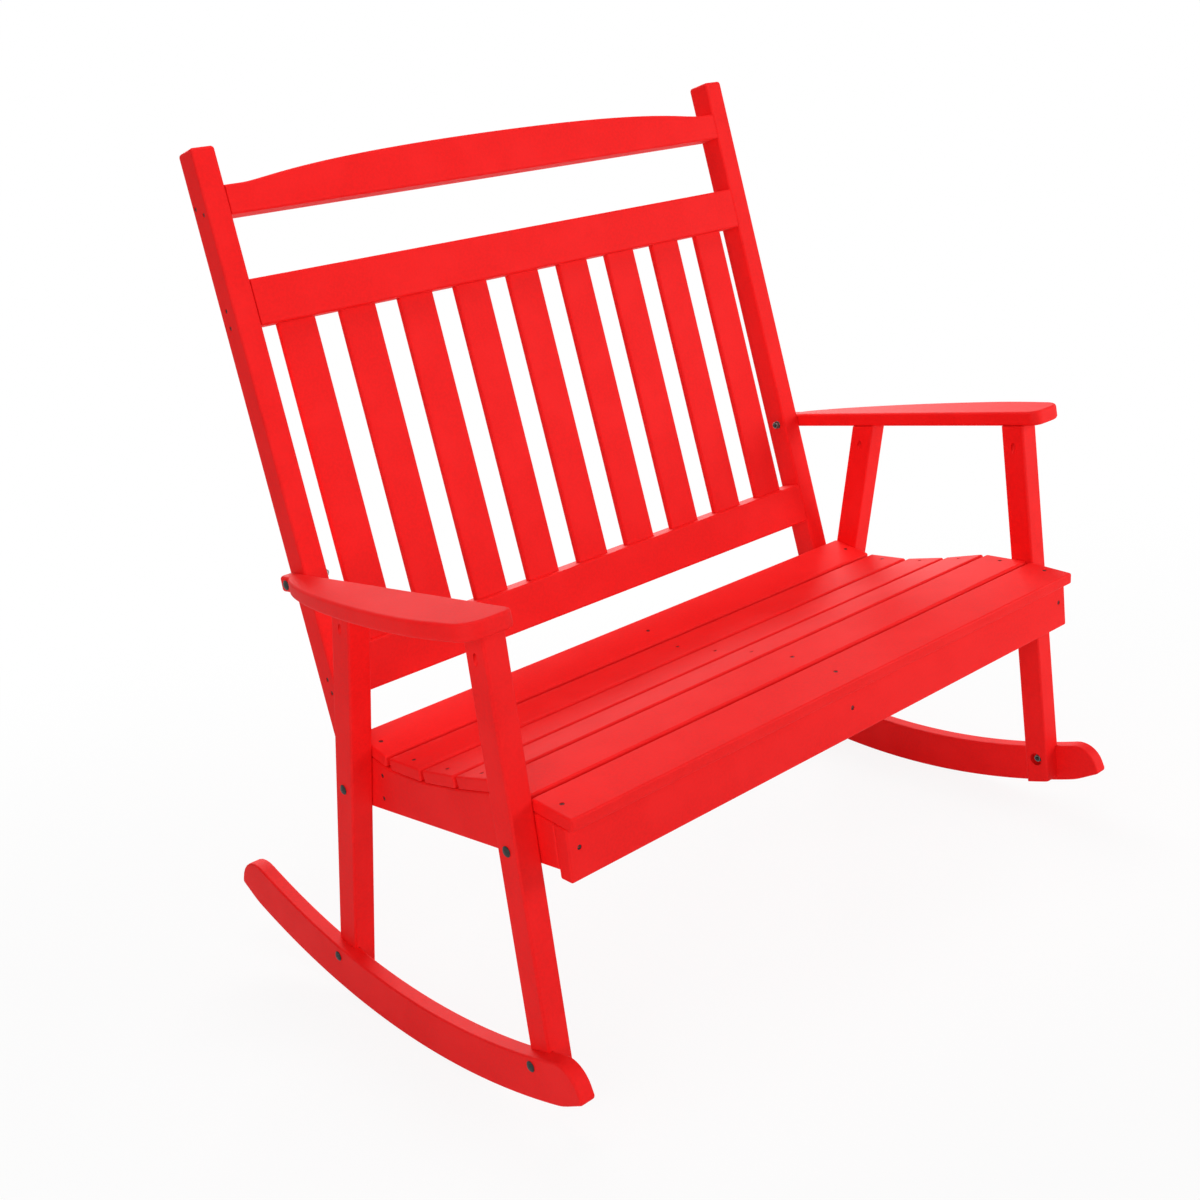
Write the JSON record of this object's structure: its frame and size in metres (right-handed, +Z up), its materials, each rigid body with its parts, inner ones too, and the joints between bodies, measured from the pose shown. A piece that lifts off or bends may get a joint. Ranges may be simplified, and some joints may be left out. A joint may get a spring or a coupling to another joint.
{
  "type": "rocking bench",
  "caption": "Double-width slatted porch rocker with a tall slatted back, curved seat, sloping arms and two curved rockers, in solid-coloured poly lumber boards.",
  "frame": {"origin": "on the floor, midway along the bench and midway between its rearmost and foremost points, at rest on its rockers", "axes": "+X along the bench to the right seen from the front, +Y towards the rear of the bench, +Z up from the floor"},
  "size_m": [1.1886, 0.8676, 1.2459],
  "materials": {
    "boards": "solid-coloured poly lumber, satin, with a fine brushed and mottled skin",
    "bolts": "dark weather coating, low sheen",
    "nuts": "plain stainless steel"
  },
  "bodies": {
    "root": {"back_post_left": "boards", "back_post_right": "boards", "lower_back_rail": "boards", "upper_back_rail": "boards", "crest_rail": "boards", "back_slat_1": "boards", "back_slat_2": "boards", "back_slat_3": "boards", "back_slat_4": "boards", "back_slat_5": "boards", "back_slat_6": "boards", "back_slat_7": "boards", "back_slat_8": "boards", "back_slat_9": "boards", "side_rail_left": "boards", "side_rail_right": "boards", "centre_support": "boards", "rear_cross_rail": "boards", "front_apron": "boards", "seat_slat_1": "boards", "seat_slat_2": "boards", "seat_slat_3": "boards", "seat_slat_4": "boards", "seat_slat_5": "boards", "seat_slat_6": "boards", "arm_left": "boards", "arm_right": "boards", "front_leg_left": "boards", "front_leg_right": "boards", "rear_leg_left": "boards", "rear_leg_right": "boards", "rocker_left": "boards", "rocker_right": "boards", "arm_bolt_left": "bolts", "arm_bolt_right": "bolts", "rear_seat_bolt_left": "bolts", "rear_seat_bolt_right": "bolts", "front_seat_bolt_left": "bolts", "front_seat_bolt_right": "bolts", "rear_rocker_bolt_left": "bolts", "rear_rocker_bolt_right": "bolts", "front_rocker_bolt_left": "bolts", "front_rocker_bolt_right": "bolts", "arm_nut_left": "nuts", "arm_nut_right": "nuts", "rear_seat_nut_left": "nuts", "rear_seat_nut_right": "nuts", "front_seat_nut_left": "nuts", "front_seat_nut_right": "nuts", "rear_rocker_nut_left": "nuts", "rear_rocker_nut_right": "nuts", "front_rocker_nut_left": "nuts", "front_rocker_nut_right": "nuts"}
  },
  "joints": []
}
